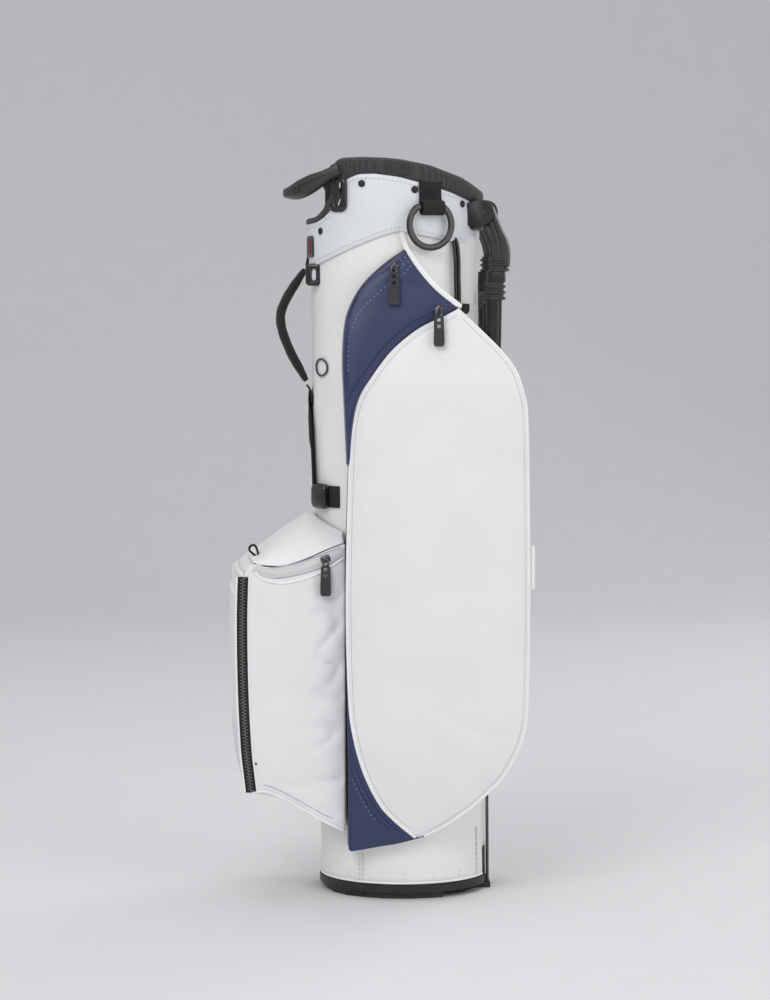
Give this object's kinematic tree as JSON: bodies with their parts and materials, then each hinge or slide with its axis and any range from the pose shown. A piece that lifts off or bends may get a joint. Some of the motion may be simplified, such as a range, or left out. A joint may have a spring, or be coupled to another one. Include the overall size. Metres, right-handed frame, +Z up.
{
  "type": "golf stand bag",
  "caption": "Upright oval golf bag with a padded divided cuff, side and ball pockets, carry handles, straps, a towel ring and a spring-out stand linked to its base flap.",
  "frame": {"origin": "on the ground under the middle of the base, on the underside of the base flap", "axes": "+Z up along the bag, +X to the back where the legs are, -Y to the side with the large pocket"},
  "size_m": [0.35, 0.2415, 0.8824],
  "materials": {
    "white_fabric": "coated woven polyester, soft sheen",
    "navy_fabric": "coated woven polyester, soft sheen",
    "white_leather": "smooth synthetic leather",
    "lining": "plain woven lining",
    "mesh_black": "padded spacer mesh",
    "pad_black": "padded woven cover",
    "webbing": "ribbed webbing",
    "badge_red": "plain moulded tag",
    "moulded_black": "fine moulded texture",
    "flap_grey": "moulded rubber-faced plastic",
    "handle_grey": "satin moulded",
    "gloss_black": "polished",
    "zip_black": "moulded teeth on woven tape",
    "rubber": "matt rubber",
    "glass_fibre": "pultruded rod",
    "leg_black": "black anodised tube",
    "steel_black": "black coated wire and pins"
  },
  "bodies": {
    "root": {"base_cup": "moulded_black", "leg_bracket": "moulded_black", "handle_clip_near": "moulded_black", "handle_clip_far": "moulded_black", "strap_buckle_front": "moulded_black", "strap_buckle_far": "moulded_black", "divider_frame": "moulded_black", "cuff_frame": "moulded_black", "flap_hinge_pin": "steel_black", "leg_pin_near": "steel_black", "leg_pin_far": "steel_black", "trunk_panel_front": "white_fabric", "trunk_panel_rear": "white_fabric", "trunk_panel_near": "white_fabric", "trunk_panel_far": "white_fabric", "apparel_pocket": "white_fabric", "ball_pocket": "white_fabric", "accessory_pocket": "white_fabric", "valuables_pocket": "navy_fabric", "cuff_collar": "white_leather", "full_length_dividers": "lining", "stay_rod_1": "glass_fibre", "stay_rod_2": "glass_fibre", "stay_rod_3": "glass_fibre", "rim_pad": "mesh_black", "hip_pad": "mesh_black", "lift_handle": "handle_grey", "strap_anchor_front": "gloss_black", "strap_anchor_far": "gloss_black", "ring_tab": "webbing", "elastic_band": "webbing", "cuff_badge": "badge_red", "cuff_rivet_1": "moulded_black", "cuff_rivet_2": "moulded_black", "cuff_rivet_3": "moulded_black", "cuff_rivet_4": "moulded_black", "ball_zip": "zip_black"},
    "flap": {"base_flap": "flap_grey"},
    "leg_near": {"leg_tube_near": "leg_black", "leg_knuckle_near": "handle_grey", "leg_collar_near": "handle_grey", "leg_foot_near": "rubber"},
    "leg_far": {"leg_tube_far": "leg_black", "leg_knuckle_far": "handle_grey", "leg_collar_far": "handle_grey", "leg_foot_far": "rubber"},
    "rod_near": {"actuator_rod_near": "steel_black"},
    "rod_far": {"actuator_rod_far": "steel_black"},
    "ring": {"towel_ring": "gloss_black"},
    "handle_loop": {"trunk_handle": "pad_black"},
    "strap_front": {"strap_pad_front": "pad_black"},
    "strap_far": {"strap_pad_far": "pad_black"},
    "valuables_slide_body": {"valuables_slider": "gloss_black"},
    "valuables_pull_body": {"valuables_puller": "rubber"},
    "apparel_slide_body": {"apparel_slider": "gloss_black"},
    "apparel_pull_body": {"apparel_puller": "rubber"},
    "ball_slide_body": {"ball_slider": "gloss_black"},
    "ball_pull_body": {"ball_puller": "rubber"},
    "accessory_slide_body": {"accessory_slider": "gloss_black"},
    "accessory_pull_body": {"accessory_puller": "rubber"}
  },
  "joints": [
    {"name": "leg_near_swing", "type": "hinge", "parent": "root", "child": "leg_near", "pos_m": [0.094, -0.05, 0.819], "axis": [-0.342, -0.9397, 0], "range_deg": [0, 40], "stiffness_Nm_per_rad": 0.5, "springref_deg": -17.19},
    {"name": "rod_near_hinge", "type": "hinge", "parent": "leg_near", "child": "rod_near", "pos_m": [0.09176, -0.04152, 0.715], "axis": [-0.342, -0.9397, 0], "range_deg": [-46, 0]},
    {"name": "leg_far_swing", "type": "hinge", "parent": "root", "child": "leg_far", "pos_m": [0.094, 0.05, 0.819], "axis": [0.342, -0.9397, 0], "range_deg": [0, 40]},
    {"name": "rod_far_hinge", "type": "hinge", "parent": "leg_far", "child": "rod_far", "pos_m": [0.09176, 0.04152, 0.715], "axis": [0.342, -0.9397, 0], "range_deg": [-46, 0]},
    {"name": "flap_tilt", "type": "hinge", "parent": "root", "child": "flap", "pos_m": [0.042, 0, 0.011], "axis": [0, -1, 0], "range_deg": [0, 28.5]},
    {"name": "towel_ring_swing", "type": "hinge", "parent": "root", "child": "ring", "pos_m": [0.02619, -0.09489, 0.823], "axis": [-0.9452, -0.3265, 0], "range_deg": [0, 140]},
    {"name": "trunk_handle_flop", "type": "hinge", "parent": "root", "child": "handle_loop", "pos_m": [-0.1188, 0, 0.684], "axis": [0, 0, 1], "range_deg": [-25, 25]},
    {"name": "strap_front_swing", "type": "hinge", "parent": "root", "child": "strap_front", "pos_m": [-0.09181, 0.07057, 0.75], "axis": [0.7315, 0.6818, 0], "range_deg": [0, 60]},
    {"name": "strap_far_swing", "type": "hinge", "parent": "root", "child": "strap_far", "pos_m": [-0.02386, 0.10046, 0.75], "axis": [0.9956, 0.0942, 0], "range_deg": [0, 60]},
    {"name": "valuables_zip_slide", "type": "slide", "parent": "root", "child": "valuables_slide_body", "axis": [-0.6939, -0.0459, -0.7186], "range_m": [0, 0.035]},
    {"name": "valuables_puller_swing", "type": "hinge", "parent": "valuables_slide_body", "child": "valuables_pull_body", "pos_m": [-0.01991, -0.10922, 0.75438], "axis": [-0.9933, 0.116, 0], "range_deg": [0, 110]},
    {"name": "apparel_zip_slide", "type": "slide", "parent": "root", "child": "apparel_slide_body", "axis": [-0.8412, -0.0055, -0.5407], "range_m": [0, 0.032]},
    {"name": "apparel_puller_swing", "type": "hinge", "parent": "apparel_slide_body", "child": "apparel_pull_body", "pos_m": [0.03217, -0.11919, 0.70382], "axis": [-0.9998, -0.0201, 0], "range_deg": [0, 110]},
    {"name": "ball_zip_slide", "type": "slide", "parent": "root", "child": "ball_slide_body", "axis": [-0.0136, 0, -0.9999], "range_m": [0, 0.105]},
    {"name": "ball_puller_swing", "type": "hinge", "parent": "ball_slide_body", "child": "ball_pull_body", "pos_m": [-0.1965, 0.098, 0.372], "axis": [1, 0, 0], "range_deg": [0, 110]},
    {"name": "accessory_zip_slide", "type": "slide", "parent": "root", "child": "accessory_slide_body", "axis": [-0.9298, 0, -0.368], "range_m": [0, 0.048]},
    {"name": "accessory_puller_swing", "type": "hinge", "parent": "accessory_slide_body", "child": "accessory_pull_body", "pos_m": [-0.1, -0.096, 0.409], "axis": [-1, 0, 0], "range_deg": [0, 110]}
  ],
  "couplings": [
    {"joint": "leg_far_swing", "follows": "leg_near_swing", "ratio": 1},
    {"joint": "rod_near_hinge", "follows": "leg_near_swing", "ratio": -1.14},
    {"joint": "rod_far_hinge", "follows": "leg_near_swing", "ratio": -1.14},
    {"joint": "flap_tilt", "follows": "leg_near_swing", "ratio": 0.7}
  ]
}
